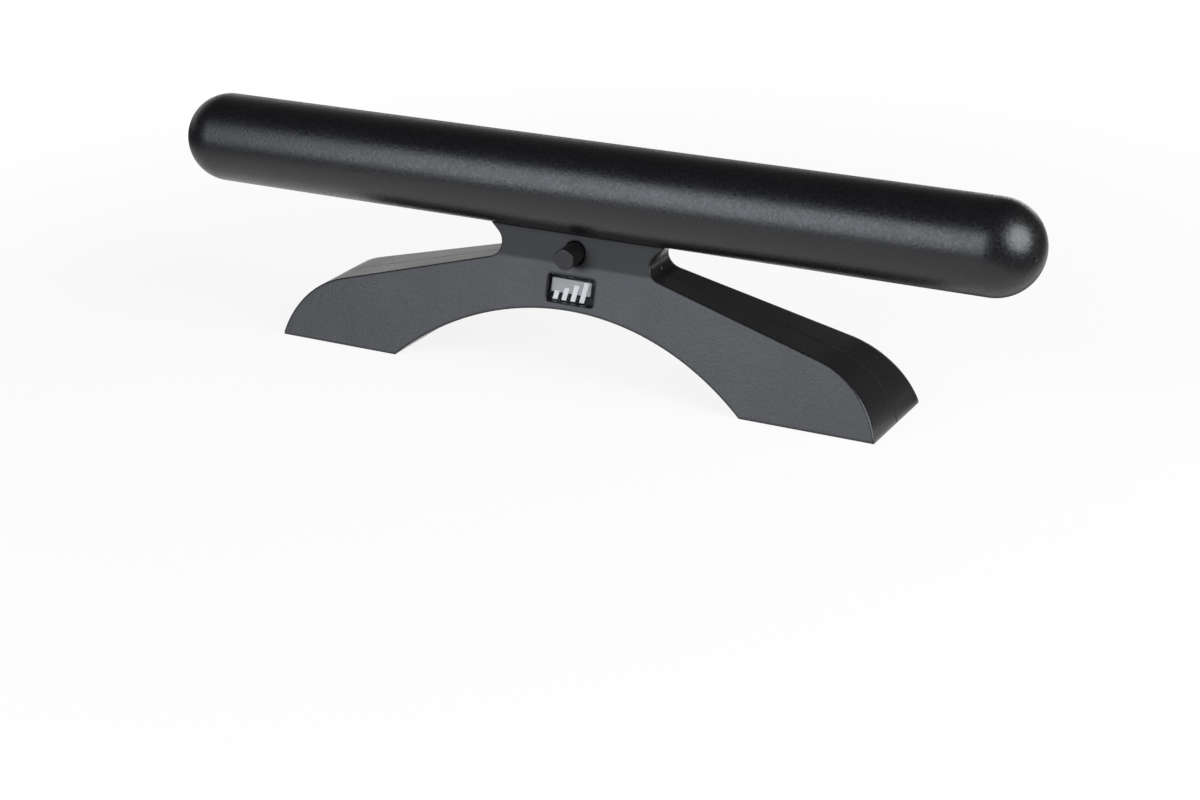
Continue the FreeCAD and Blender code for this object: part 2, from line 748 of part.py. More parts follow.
def board_components():
    transistors = []
    capacitors = []
    transistor_low = f"{BOARD_HIGH} - transistor_edge - transistor_height"
    capacitor_height = f"{BOARD_LOW} + capacitor_edge + capacitor_diameter / 2"
    for name, hand in HANDS:
        block = doc.addObject("Part::Box", f"{name}_transistor")
        for path, size_of in (("Length", "width"), ("Width", "depth"), ("Height", "height")):
            bind(block, {path: f"transistor_{size_of}"})
        across = f"{signed(hand, 'transistor_across')} - transistor_width / 2"
        place(block, across, "-transistor_depth", transistor_low)
        transistors.append(block)
        capacitors.append(cylinder(f"{name}_capacitor", "capacitor_diameter", "capacitor_length",
                                   signed(hand, "capacitor_across"), "0", capacitor_height, turn=90))
    group("board_transistors", transistors)
    group("filter_capacitors", capacitors)


def coaxial_socket():
    """Threaded outlet on the back of the board, with its insulator and centre contact."""
    socket = new_body("coax_socket", up=SOCKET_HEIGHT)
    base = sketch_on(socket, "XZ_Plane", "-board_thickness")
    rectangle(base, "socket_base_side", "socket_base_side")
    pad(socket, base, "socket_base_depth", flip=True)
    base_end = "board_thickness + socket_base_depth"
    thread_start = f"({half_depth(SOCKET_HEIGHT)} + socket_standoff)"
    tip = f"({thread_start} + socket_thread_length)"
    barrel = sketch_on(socket, "YZ_Plane")
    bore, neck, thread = "socket_bore / 2", "socket_neck_diameter / 2", "socket_thread_diameter / 2"
    profile(barrel, [
        (base_end, bore), (tip, bore), (tip, thread), (thread_start, thread),
        (thread_start, neck), (base_end, neck),
    ])
    revolve(socket, barrel)
    through = sketch_on(socket, "XZ_Plane")
    circle(through, "0", "0", "socket_bore")
    pocket(socket, through)
    finished(socket, "coax_socket")

    insulator = new_body("coax_insulator", up=SOCKET_HEIGHT)
    section = sketch_on(insulator, "YZ_Plane")
    back, face = "board_thickness", f"{tip} - insulator_recess"
    contact_end = f"{tip} - contact_setback"
    outer, seat = "socket_bore / 2 - insulator_fit", "contact_diameter / 2 + insulator_fit"
    profile(section, [
        (back, seat), (contact_end, seat), (contact_end, "contact_bore / 2"), (face, "contact_bore / 2"),
        (face, outer), (back, outer),
    ])
    revolve(insulator, section)
    finished(insulator, "coax_insulator")

    contact = new_body("coax_contact", up=SOCKET_HEIGHT)
    section = sketch_on(contact, "YZ_Plane")
    profile(section, [
        (back, "contact_bore / 2"), (contact_end, "contact_bore / 2"),
        (contact_end, "contact_diameter / 2"), (back, "contact_diameter / 2"),
    ])
    revolve(contact, section)
    finished(contact, "coax_contact")


def dipole_holder():
    """Block in the bottom of the bore, with two stems whose lugs the half shells trap."""
    holder = new_body("dipole_holder", up=TUBE_AXIS)
    radius = f"({BORE_RADIUS} - holder_gap)"
    chord = f"sqrt({radius} ^ 2 - holder_drop ^ 2)"
    segment = sketch_on(holder, "YZ_Plane")
    flat = [(f"-{chord}", "-holder_drop"), (chord, "-holder_drop")]
    profile(segment, flat, [(0, "0", "0", radius, 1)])
    pad(holder, segment, "holder_length", both=True)
    well = sketch_on(holder, "XY_Plane")
    rectangle(well, "feed_slot_width", "feed_slot_depth")
    pocket(holder, well)
    lug_top = f"({TUBE_RADIUS} + saddle_gap + saddle_wall + stem_gap)"
    for depth, top, length in (("stem_depth", "holder_drop", f"{lug_top} + lug_height - holder_drop"),
                               ("lug_depth", lug_top, "lug_height")):
        stems = sketch_on(holder, "XY_Plane", f"-({top})")
        for hand in (LEFT, RIGHT):
            rectangle(stems, "stem_width", depth, signed(hand, "stem_across"))
        pad(holder, stems, length, flip=True)
    pilots = sketch_on(holder, "XY_Plane", "-holder_drop")
    for hand in (LEFT, RIGHT):
        for across in STRIP_SCREWS:
            circle(pilots, signed(hand, across), "0", "small_screw_diameter + 2 * thread_fit")
    pocket(holder, pilots, "small_screw_length - strip_thickness + small_pilot_spare")
    finished(holder, "dipole_holder")


def dipole_strip(label, hand):
    """Flat aluminium arm of the dipole, drilled for its two screws."""
    strip = new_body(label, up=STRIP_UNDERSIDE, half_turn=hand == LEFT)
    outline = sketch_on(strip, "XY_Plane")
    rectangle(outline, STRIP_LENGTH, "strip_width", f"strip_inset + {STRIP_LENGTH} / 2")
    for across in STRIP_SCREWS:
        circle(outline, across, "0", "small_screw_diameter + 2 * thread_fit")
    pad(strip, outline, "strip_thickness")
    finished(strip, label)


def strip_spacer(label, hand):
    """Disc that centres the outer end of an arm in the bore."""
    spacer = new_body(label, up=TUBE_AXIS, half_turn=hand == LEFT)
    across = "tube_straight / 2 - spigot_length - spacer_gap - spacer_thickness"
    disc = sketch_on(spacer, "YZ_Plane", across)
    circle(disc, "0", "0", f"2 * ({BORE_RADIUS} - holder_gap)")
    circle(disc, "0", "spacer_window_rise", "spacer_window")
    wide, thick = "strip_width + 2 * strip_fit", "strip_thickness + 2 * strip_fit"
    rectangle(disc, wide, thick, y="strip_thickness / 2 - holder_drop")
    pad(spacer, disc, "spacer_thickness")
    finished(spacer, label)


def feed_wire(label, hand):
    """Straight wire from the underside of an arm to the front of the board."""
    low = f"({BOARD_TAB_HIGH} - wire_lap)"
    wire = cylinder(label, "wire_diameter", f"{STRIP_UNDERSIDE} - {low}",
                    signed(hand, "wire_across"), "-wire_diameter / 2", low)
    finished(wire, label)


def screw(label, head_size, shank_size, seat, turns):
    """Head and shank in one, drawn both ways from the seat under the head."""
    whole = doc.addObject("Part::Fuse", label)
    whole.Base = cylinder(f"{label}_head", *head_size, *seat, turn=turns[0])
    whole.Tool = cylinder(f"{label}_shank", *shank_size, *seat, turn=turns[1])
    return whole


def fasteners():
    large = ("head_diameter", "head_height"), ("screw_diameter", "screw_length")
    small = ("small_head_diameter", "small_head_height"), ("small_screw_diameter", "small_screw_length")
    strip_top = f"{STRIP_UNDERSIDE} + strip_thickness"
    lying, upright = (-90, 90), (0, 180)
    case_screws, board_screws, strip_screws = [], [], []
    for name, hand in HANDS:
        for spot, (across, height) in CASE_BOSSES.items():
            seat = (signed(hand, across), "seat_depth", height)
            case_screws.append(screw(f"{name}_{spot}_screw", *large, seat, lying))
        across, height = BOARD_BOSS
        seat = (signed(hand, across), "board_thickness", height)
        board_screws.append(screw(f"{name}_board_screw", *small, seat, lying))
        for across in STRIP_SCREWS:
            seat = (signed(hand, across), "0", strip_top)
            strip_screws.append(screw(f"{name}_{across}", *small, seat, upright))
    group("case_screws", case_screws)
    group("board_screws", board_screws)
    group("strip_screws", strip_screws)


def check_document():
    for thing in doc.Objects:
        if "Invalid" in thing.State or "Error" in thing.State:
            raise RuntimeError(f"{thing.Label} did not build: {thing.State}")
    for part in parts:
        if part.Shape.isNull() or not part.Shape.isValid() or not part.Shape.Solids:
            raise RuntimeError(f"{part.Label} has no valid solid")


front_shell()
rear_shell()
sign_lens()
sign_plate()
radome_tube()
gain_knob()
trimmer()
amplifier_board()
indicator_led()
balun_core()
board_components()
coaxial_socket()
dipole_holder()
for name, hand in HANDS:
    end_cap(f"{name}_end_cap", hand)
    dipole_strip(f"{name}_dipole_strip", hand)
    strip_spacer(f"{name}_strip_spacer", hand)
    feed_wire(f"{name}_feed_wire", hand)
fasteners()
doc.recompute()
check_document()
os.makedirs("parts", exist_ok=True)
for part in parts:
    part.Shape.exportStep(f"parts/{part.Label}.step")
    print(part.Label, len(part.Shape.Solids), round(part.Shape.Volume, 2))
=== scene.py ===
import math

import bmesh
import bpy
from mathutils import Matrix, Vector


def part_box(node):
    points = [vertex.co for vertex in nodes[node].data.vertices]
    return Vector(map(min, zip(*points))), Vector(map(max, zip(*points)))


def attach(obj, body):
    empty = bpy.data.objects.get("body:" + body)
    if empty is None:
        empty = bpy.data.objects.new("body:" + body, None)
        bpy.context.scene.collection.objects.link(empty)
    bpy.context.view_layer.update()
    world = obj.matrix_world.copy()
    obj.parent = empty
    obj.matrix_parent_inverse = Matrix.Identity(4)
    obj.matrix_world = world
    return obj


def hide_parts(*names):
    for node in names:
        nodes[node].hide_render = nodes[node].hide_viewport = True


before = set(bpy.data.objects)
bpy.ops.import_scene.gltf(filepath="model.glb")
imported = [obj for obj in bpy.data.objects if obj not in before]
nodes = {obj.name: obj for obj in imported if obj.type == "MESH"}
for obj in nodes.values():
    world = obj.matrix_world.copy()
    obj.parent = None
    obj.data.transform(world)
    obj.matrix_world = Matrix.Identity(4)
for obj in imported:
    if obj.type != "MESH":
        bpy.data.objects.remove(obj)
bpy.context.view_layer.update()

# An indoor antenna: a satin black radome tube with domed ends on a matt charcoal stand
# of two leaning half shells. Metres, X along the tube, -Y the front, Z up, Z = 0 the table.

MM = 0.001
STAND = "stand"

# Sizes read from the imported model
tube_low, tube_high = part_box("radome_tube")
TUBE_AXIS = Vector((0, 0, (tube_low.z + tube_high.z) / 2))
TUBE_RADIUS = (tube_high.z - tube_low.z) / 2
TUBE_END = tube_high.x

# Meshes

ROUND_SEGMENTS = 192
SHARP_ANGLE = math.radians(30)
MESH_WELD = 0.0001 * MM
NODE_WELD = 0.001 * MM
SAME_PLANE = 0.01 * MM
POLE_RADIUS = 1e-9
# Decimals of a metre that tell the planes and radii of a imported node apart.
PLACES = 5


def piece(name, mesh, replaced):
    """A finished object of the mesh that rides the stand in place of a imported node."""
    mesh.shade_smooth()
    mesh.set_sharp_from_angle(angle=SHARP_ANGLE)
    made = bpy.data.objects.new(name, mesh)
    bpy.context.scene.collection.objects.link(made)
    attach(made, STAND)
    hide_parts(replaced)
    return made


def mesh_of(name, bm):
    """Closes the bmesh into a mesh with outward faces."""
    bmesh.ops.remove_doubles(bm, verts=bm.verts, dist=MESH_WELD)
    bmesh.ops.recalc_face_normals(bm, faces=bm.faces)
    mesh = bpy.data.meshes.new(name)
    bm.to_mesh(mesh)
    bm.free()
    return mesh


def lathe(bm, profile, centre, axis, segments=ROUND_SEGMENTS, closed=False):
    """Turns a profile of (along, radius) points round an axis through the centre."""
    axis = Vector(axis).normalized()
    across = axis.orthogonal().normalized()
    other = axis.cross(across)
    rings = []
    for along, radius in profile:
        middle = Vector(centre) + axis * along
        if radius < POLE_RADIUS:
            rings.append([bm.verts.new(middle)])
            continue
        ring = []
        for step in range(segments):
            angle = 2 * math.pi * step / segments
            spoke = across * math.cos(angle) + other * math.sin(angle)
            ring.append(bm.verts.new(middle + spoke * radius))
        rings.append(ring)
    pairs = list(zip(rings, rings[1:]))
    if closed:
        pairs.append((rings[-1], rings[0]))
    for first, second in pairs:
        for step in range(segments):
            after = (step + 1) % segments
            # A dictionary keeps each corner once where a ring is a pole.
            corners = {first[step % len(first)]: 0, first[after % len(first)]: 0,
                       second[after % len(second)]: 0, second[step % len(second)]: 0}
            bm.faces.new(corners)


def prism(bm, outline, near, far):
    """Closes an outline between two depths; near and far turn an outline point into a place."""
    front = [bm.verts.new(near(*point)) for point in outline]
    back = [bm.verts.new(far(*point)) for point in outline]
    faces = [bm.faces.new(front), bm.faces.new(back[::-1])]
    for step in range(len(outline)):
        after = (step + 1) % len(outline)
        faces.append(bm.faces.new((front[step], back[step], back[after], front[after])))
    return faces


def rectangle(left, right, foot, top):
    return [(left, foot), (right, foot), (right, top), (left, top)]


def cut(target, cutter_mesh):
    """Takes the cutter's volume out of the target's mesh."""
    cutter = bpy.data.objects.new("cutter", cutter_mesh)
    bpy.context.scene.collection.objects.link(cutter)
    modifier = target.modifiers.new("cut", "BOOLEAN")
    modifier.object = cutter
    modifier.solver = "EXACT"
    bpy.context.view_layer.update()
    graph = bpy.context.evaluated_depsgraph_get()
    result = bpy.data.meshes.new_from_object(target.evaluated_get(graph))
    target.modifiers.clear()
    bpy.data.objects.remove(cutter)
    result.shade_smooth()
    result.set_sharp_from_angle(angle=SHARP_ANGLE)
    target.data = result


def ring_radii(node_name, x):
    """Inner and outer radius about the tube's axis of a node's edges in the plane at x."""
    radii = [math.hypot(v.co.y, v.co.z - TUBE_AXIS.z)
             for v in nodes[node_name].data.vertices if abs(v.co.x - x) < SAME_PLANE]
    return min(radii), max(radii)


# Radome

BORE_RADIUS = ring_radii("radome_tube", TUBE_END)[0]
DOME_STEPS = 48
# The moulding gate's mark on the right cap: a ring-shaped groove round a nub.
GATE_NORMAL = Vector((0.930, -0.367, 0.004))
# The groove's profile in millimetres, as heights over the dome and radii
GATE_GROOVE = (0.30, 0.35), (0.30, 1.155), (-0.12, 0.945), (-0.30, 0.455)
GATE_SEGMENTS = 24


def at_height(z):
    """Places a point (x, y) at a height."""
    return lambda x, y: Vector((x, y, z))


def build_tube():
    bm = bmesh.new()
    lathe(bm, [(-TUBE_END, BORE_RADIUS), (-TUBE_END, TUBE_RADIUS),
               (TUBE_END, TUBE_RADIUS), (TUBE_END, BORE_RADIUS)], TUBE_AXIS, (1, 0, 0), closed=True)
    tube = piece("radome_tube_skin", mesh_of("radome_tube_skin", bm), "radome_tube")
    # The slots for the dipole's stems and feed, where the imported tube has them.
    inner = [v.co for v in nodes["radome_tube"].data.vertices if abs(v.co.x) < TUBE_END - MM]
    edges = sorted({round(co.x, PLACES) for co in inner})
    bm = bmesh.new()
    for left, right in zip(edges[::2], edges[1::2]):
        half = max(abs(co.y) for co in inner if left - MM < co.x < right + MM)
        prism(bm, rectangle(left, right, -half, half), at_height(tube_low.z - MM), at_height(TUBE_AXIS.z))
    cut(tube, mesh_of("slots", bm))
    return tube


def build_cap(node_name, side):
    """A domed end with the small ring that its moulding gate leaves beside the pole."""
    low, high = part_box(node_name)
    spigot_end = low.x if side > 0 else high.x
    spigot_in, spigot_out = ring_radii(node_name, spigot_end)
    spigot = TUBE_END - abs(spigot_end)
    quarter = [math.pi / 2 * step / DOME_STEPS for step in range(DOME_STEPS + 1)]
    profile = [(TUBE_RADIUS * math.cos(a), TUBE_RADIUS * math.sin(a)) for a in quarter]
    profile += [(0, spigot_out), (-spigot, spigot_out), (-spigot, spigot_in), (0, spigot_in)]
    profile += [(BORE_RADIUS * math.cos(a), BORE_RADIUS * math.sin(a))
                for a in quarter[::-1] if BORE_RADIUS * math.sin(a) < spigot_in]
    centre = TUBE_AXIS + Vector((side * TUBE_END, 0, 0))
    bm = bmesh.new()
    lathe(bm, profile, centre, (side, 0, 0))
    cap = piece(node_name + "_dome", mesh_of(node_name, bm), node_name)
    # The two ends are one moulding, turned end for end.
    gate_axis = Vector((side * GATE_NORMAL.x, side * GATE_NORMAL.y, GATE_NORMAL.z))
    groove = [(TUBE_RADIUS + up * MM, out * MM) for up, out in GATE_GROOVE]
    bm = bmesh.new()
    lathe(bm, groove, centre, gate_axis, GATE_SEGMENTS, closed=True)
    cut(cap, mesh_of("gate", bm))
    return cap


# Sign

sign_low, sign_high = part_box("sign_plate")
lens_low, lens_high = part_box("sign_lens")
FACE_NORMAL = min((p.normal for p in nodes["sign_plate"].data.polygons), key=lambda n: n.y)
LEAN = -FACE_NORMAL.z / FACE_NORMAL.y
SIGN_THICKNESS = sign_high.y - sign_low.y - (sign_high.z - sign_low.z) * LEAN
WINDOW_WIDTH = lens_high.x - lens_low.x
WINDOW_HEIGHT = lens_high.z - lens_low.z
# Depths behind the sign's front: the bars, the field and the dark plate under both
BAR_FRONT = 0.012 * MM
FIELD_FRONT = 0.12 * MM
PLATE_FRONT = 0.24 * MM
# Margins of the grey field, a painted reflection on the sign, as shares of the window
FIELD_LEFT, FIELD_RIGHT = 0.035, 0.125
FIELD_FOOT, FIELD_TOP = 0.30, 0.205
# Bars: foot and heights as shares of the window's height, the slant as a share of a bar's
# own height, and the rest as shares of their pitch
BAR_COUNT = 4
BAR_FOOT = 0.04
FIRST_BAR_HEIGHT, BAR_RISE = 0.30, 0.145
BAR_SLANT = 0.2
BAR_WIDTH, BAR_START, BAR_SPARE = 0.52, 0.25, 0.4


def on_sign(depth):
    """Places a point (x, z) of the sign at a depth behind its leaning front."""
    return lambda x, z: Vector((x, sign_low.y + (z - sign_low.z) * LEAN + depth, z))


def build_sign(materials):
    """A dark plate with a pale grey field, a painted reflection of the front softbox in the lens, and a
    rising row of slanted white signal bars.
    """
    bm = bmesh.new()
    plate = rectangle(sign_low.x, sign_high.x, sign_low.z, sign_high.z)
    prism(bm, plate, on_sign(PLATE_FRONT), on_sign(SIGN_THICKNESS))
    left, right = lens_low.x + FIELD_LEFT * WINDOW_WIDTH, lens_high.x - FIELD_RIGHT * WINDOW_WIDTH
    foot, top = lens_low.z + FIELD_FOOT * WINDOW_HEIGHT, lens_high.z - FIELD_TOP * WINDOW_HEIGHT
    for face in prism(bm, rectangle(left, right, foot, top), on_sign(FIELD_FRONT), on_sign(PLATE_FRONT)):
        face.material_index = 1
    pitch = (right - left) / (BAR_COUNT + BAR_SPARE)
    width = BAR_WIDTH * pitch
    base = lens_low.z + BAR_FOOT * WINDOW_HEIGHT
    for bar in range(BAR_COUNT):
        height = (FIRST_BAR_HEIGHT + BAR_RISE * bar) * WINDOW_HEIGHT
        shift = BAR_SLANT * height
        x = left + pitch * (bar + BAR_START)
        outline = [(x, base), (x + width, base),
                   (x + width + shift, base + height), (x + shift, base + height)]
        for face in prism(bm, outline, on_sign(BAR_FRONT), on_sign(PLATE_FRONT)):
            face.material_index = 2
    sign = piece("signal_sign", mesh_of("signal_sign", bm), "sign_plate")
    for material in materials:
        sign.data.materials.append(material)


# Coaxial outlet and case screws

# A thread of 32 turns to the inch
THREAD_PITCH = 25.4 / 32 * MM
THREAD_DEPTH = 0.42 * MM
THREAD_SEGMENTS = 96
ROWS_PER_TURN = 8
# Share of the thread's depth that is left at the barrel's mouth
THREAD_AT_MOUTH = 0.6
SCREW_SEGMENTS = 48
# Shares of a screw head's height and radius, from its seat up
HEAD_PROFILE = ((0, 1), (0.45, 1), (0.75, 0.93), (0.93, 0.76), (1, 0.5), (1, 0))
CROSS_ARM = 3.2 * MM
CROSS_WIDTH = 0.8 * MM
CROSS_DEPTH = 1.3 * MM
CROSS_TAPER = 0.7
# How far each screw's cross is turned, from the left, in degrees
SCREW_TURNS = (17, 63, 40, 78)


def islands(node_name):
    """The box of each separate solid of a node, as (lowest corner, highest corner), from the left."""
    bm = bmesh.new()
    bm.from_mesh(nodes[node_name].data)
    bmesh.ops.remove_doubles(bm, verts=bm.verts, dist=NODE_WELD)
    left = set(bm.verts)
    boxes = []
    while left:
        reached = [left.pop()]
        for vert in reached:
            for edge in vert.link_edges:
                other = edge.other_vert(vert)
                if other in left:
                    left.remove(other)
                    reached.append(other)
        sides = list(zip(*(v.co for v in reached)))
        boxes.append((Vector(map(min, sides)), Vector(map(max, sides))))
    bm.free()
    return sorted(boxes, key=lambda box: box[0].x)


def build_socket():
    """A square base, plain neck and threaded barrel with an open bore, along +Y."""
    low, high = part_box("coax_socket")
    middle = (low + high) / 2
    rings = {(round(v.co.y, PLACES), round(math.hypot(v.co.x - middle.x, v.co.z - middle.z), PLACES))
             for v in nodes["coax_socket"].data.vertices}
    base, neck, barrel, end = sorted({y for y, radius in rings})
    bore = min(radius for y, radius in rings)
    crest = max(radius for y, radius in rings if y == end)
    shank = min(radius for y, radius in rings if y == barrel)
    half = (high.x - low.x) / 2

    def square(angle):
        return half / max(abs(math.cos(angle)), abs(math.sin(angle)))

    def thread(y):
        fade = min(1, (y - barrel) / THREAD_PITCH, (end - y) / THREAD_PITCH + THREAD_AT_MOUTH)

        def radius(angle):
            turn = (y / THREAD_PITCH - angle / (2 * math.pi)) % 1
            return crest - THREAD_DEPTH * abs(2 * turn - 1) * fade
        return radius

    rows = math.ceil((end - barrel) / THREAD_PITCH * ROWS_PER_TURN)
    outline = [(base, square), (neck, square), (neck, lambda a: shank), (barrel, lambda a: shank)]
    for row in range(rows + 1):
        y = barrel + (end - barrel) * row / rows
        outline.append((y, thread(y)))
    outline += [(end, lambda a: bore), (base, lambda a: bore)]
    bm = bmesh.new()
    loops = []
    for y, radius in outline:
        loop = []
        for step in range(THREAD_SEGMENTS):
            angle = 2 * math.pi * step / THREAD_SEGMENTS
            reach = radius(angle)
            spot = (middle.x + reach * math.cos(angle), y, middle.z + reach * math.sin(angle))
            loop.append(bm.verts.new(spot))
        loops.append(loop)
    for first, second in zip(loops, loops[1:] + loops[:1]):
        for step in range(THREAD_SEGMENTS):
            after = (step + 1) % THREAD_SEGMENTS
            bm.faces.new((first[step], first[after], second[after], second[step]))
    return piece("threaded_socket", mesh_of("threaded_socket", bm), "coax_socket")


def cross_outline(turn):
    """Outline of a cross recess, turned by an angle in degrees."""
    arm, half = CROSS_ARM / 2, CROSS_WIDTH / 2
    corners = (arm, half), (half, half), (half, arm)
    outline = []
    for quarter in range(4):
        angle = math.radians(turn + 90 * quarter)
        cos, sin = math.cos(angle), math.sin(angle)
        outline += [(x * cos - z * sin, x * sin + z * cos) for x, z in corners]
    return outline


def at_screw(centre, y, scale=1):
    """Places a point (x, z), scaled about a screw's centre, at a depth along Y."""
    return lambda x, z: Vector((centre.x + scale * x, y, centre.z + scale * z))


def build_screws():
    """Pan-head screws with a cross recess, driven in from the rear."""
    heads = bmesh.new()
    crosses = bmesh.new()
    packed = [v.co for v in nodes["case_screws"].data.vertices]
    tip, seat, top = sorted({round(co.y, PLACES) for co in packed})
    for turn, (low, high) in zip(SCREW_TURNS, islands("case_screws")):
        centre = (low + high) / 2
        head = (high.x - low.x) / 2
        shank = min(math.hypot(co.x - centre.x, co.z - centre.z)
                    for co in packed if abs(co.y - tip) < SAME_PLANE)
        profile = [(tip, 0), (tip, shank), (seat, shank)]
        profile += [(seat + up * (top - seat), out * head) for up, out in HEAD_PROFILE]
        lathe(heads, profile, (centre.x, 0, centre.z), (0, 1, 0), SCREW_SEGMENTS)
        mouth, bottom = at_screw(centre, top + MM), at_screw(centre, top - CROSS_DEPTH, CROSS_TAPER)
        prism(crosses, cross_outline(turn), mouth, bottom)
    screws = piece("cross_head_screws", mesh_of("cross_head_screws", heads), "case_screws")
    cut(screws, mesh_of("crosses", crosses))
    return screws


# Shader nodes

# Most values of a noise lie between these.
NOISE_LOW, NOISE_HIGH = 0.3, 0.7
# Sockets of a Mix node that mixes vectors
VECTOR_A, VECTOR_B = 4, 5
VECTOR_RESULT = 1


def node(tree, kind, inputs=None, **settings):
    """A new shader node; an input takes a value or another node's output."""
    made = tree.nodes.new("ShaderNode" + kind)
    for name, setting in settings.items():
        setattr(made, name, setting)
    for name, given in (inputs or {}).items():
        if isinstance(given, bpy.types.NodeSocket):
            tree.links.new(given, made.inputs[name])
        else:
            made.inputs[name].default_value = given
    return made


def calc(tree, operation, *values, clamp=False):
    """The result of a Math node."""
    return node(tree, "Math", dict(enumerate(values)), operation=operation, use_clamp=clamp).outputs["Value"]


def blend(tree, factor, first, second):
    """A colour or value that goes from first to second with the factor."""
    return node(tree, "MixRGB", {"Fac": factor, "Color1": first, "Color2": second}).outputs["Color"]


def spread(tree, value, low, high, start=NOISE_LOW, end=NOISE_HIGH):
    """Maps a value from start..end to low..high."""
    return node(tree, "MapRange", {"Value": value, "From Min": start, "From Max": end,
                                   "To Min": low, "To Max": high}).outputs["Result"]


def ramp(tree, value, stops):
    """A colour that runs through (position, grey or colour) stops."""
    made = node(tree, "ValToRGB", {"Fac": value})
    elements = made.color_ramp.elements
    while len(elements) < len(stops):
        elements.new(0.5)
    for element, (position, tone) in zip(elements, stops):
        element.position = position
        element.color = (*tone, 1) if isinstance(tone, tuple) else (tone, tone, tone, 1)
    return made.outputs["Color"]


def mottle(tree, value, darker, lighter):
    """A colour that follows a noise between two tones."""
    return ramp(tree, value, [(NOISE_LOW, darker), (NOISE_HIGH, lighter)])


def noise(tree, size, detail=2.0, roughness=0.5, stretch=None):
    """A cloudy value from 0 to 1 whose blotches are about one size across."""
    spot = node(tree, "TexCoord").outputs["Object"]
    if stretch:
        spot = node(tree, "Mapping", {"Vector": spot, "Scale": stretch}).outputs["Vector"]
    return node(tree, "TexNoise", {"Vector": spot, "Scale": 1 / size, "Detail": detail,
                                   "Roughness": roughness}).outputs["Fac"]


def bump(tree, height, depth, under=None):
    """A normal raised by the height, in metres, over another normal."""
    inputs = {"Height": height, "Distance": depth, "Strength": 1.0}
    if under:
        inputs["Normal"] = under
    return node(tree, "Bump", inputs).outputs["Normal"]


def new_material(name):
    """A material with its node tree and shader."""
    material = bpy.data.materials.new(name)
    material.use_nodes = True
    tree = material.node_tree
    return material, tree, tree.nodes["Principled BSDF"]


def surface(tree, factor, first, second):
    """Ends the tree in a mix of two shaders."""
    mixed = node(tree, "MixShader", {0: factor, 1: first.outputs[0], 2: second.outputs[0]})
    tree.links.new(mixed.outputs["Shader"], tree.nodes["Material Output"].inputs["Surface"])


# Materials

FINE_DETAIL, FINE_ROUGHNESS = 3, 0.6
CLOUD_SIZE = 14 * MM
CLOUD_GLOSS = 0.02
DRAWN_SIZE = 0.4 * MM
DRAWN_RELIEF = 0.004 * MM
# How much smoother and rougher than its mean a drawn line is
DRAWN_SHINE, DRAWN_DULLING = 0.06, 0.08
STAIN_SIZE = 6 * MM
STAIN_DEPTH = 0.86

# The grain of the stand's faces ends here, level with the foot of the neck's notches.
NECK_BAND = 40.0 * MM
NECK_BAND_BLEND = 0.6 * MM
STAND_GRAIN, STAND_GRAIN_ROUGHNESS = 1.25 * MM, 0.65
STAND_CLOUD = 18 * MM
STAND_RELIEF = 0.075 * MM
# Share of the grain's relief that is left on smooth zones
SMOOTH_RELIEF = 0.15
EDGE_EASE = 1.3 * MM
EDGE_SAMPLES = 8
# Cosines between the eased and the true normal, from an edge to flat ground
EDGE_BENT, EDGE_FLAT = 0.90, 0.99
# How far the normal points to the front or rear, on walls and on faces
WALL_TURN, FACE_TURN = 0.88, 0.94
# The easing starts this far from the parting plane.
SEAM_CLEAR = 1.0 * MM
SEAM_INNER, SEAM_OUTER = 0.20 * MM, 0.30 * MM
# The seam is crisp along the tops and worn dull where it runs down the ends.
SEAM_CRISP, SEAM_DULL = 0.14, 0.95
CRISP_END, DULL_START = 88 * MM, 98 * MM

FACE_TONES = (0.0130, 0.0136, 0.0152), (0.0198, 0.0206, 0.0228)
BAND_TONES = (0.0090, 0.0090, 0.0092), (0.0108, 0.0108, 0.0110)
WALL_TONES = (0.0086, 0.0086, 0.0092), (0.0112, 0.0112, 0.0118)
# Colour of the painted shade along the outer edges
EDGE_PAINTED_SHADE = (0.0035, 0.0035, 0.0037, 1)
FACE_GLOSS = 0.40, 0.44
BAND_GLOSS = 0.60, 0.63
WALL_GLOSS = 0.25, 0.31

LENS_INDEX = 1.05
LENS_TINT = (0.96, 0.97, 0.97, 1)
# Tint of the light that passes to the sign
LENS_PASSING_TINT = (0.92, 0.93, 0.93, 1)
LENS_HAZE_SIZE = 0.8 * MM
LENS_GLOSS = 0.02, 0.04


def moulded(name, tone, roughness, grain=0.5 * MM, relief=0.006 * MM, contrast=0.12, glint=0.02,
            **sockets):
    """Moulded plastic: a fine spark grain in tone, relief and gloss, over slow clouds of gloss."""
    material, tree, shader = new_material(name)
    fine = noise(tree, grain, FINE_DETAIL, FINE_ROUGHNESS)
    cloud = noise(tree, CLOUD_SIZE)
    darker, lighter = (tuple(c * share for c in tone) for share in (1 - contrast, 1 + contrast))
    speckle = spread(tree, fine, roughness - glint, roughness + glint)
    gloss = calc(tree, "ADD", speckle, spread(tree, cloud, -CLOUD_GLOSS, CLOUD_GLOSS))
    link = tree.links.new
    link(mottle(tree, fine, darker, lighter), shader.inputs["Base Color"])
    link(gloss, shader.inputs["Roughness"])
    link(bump(tree, fine, relief), shader.inputs["Normal"])
    for socket, given in sockets.items():
        shader.inputs[socket.replace("_", " ")].default_value = given
    return material


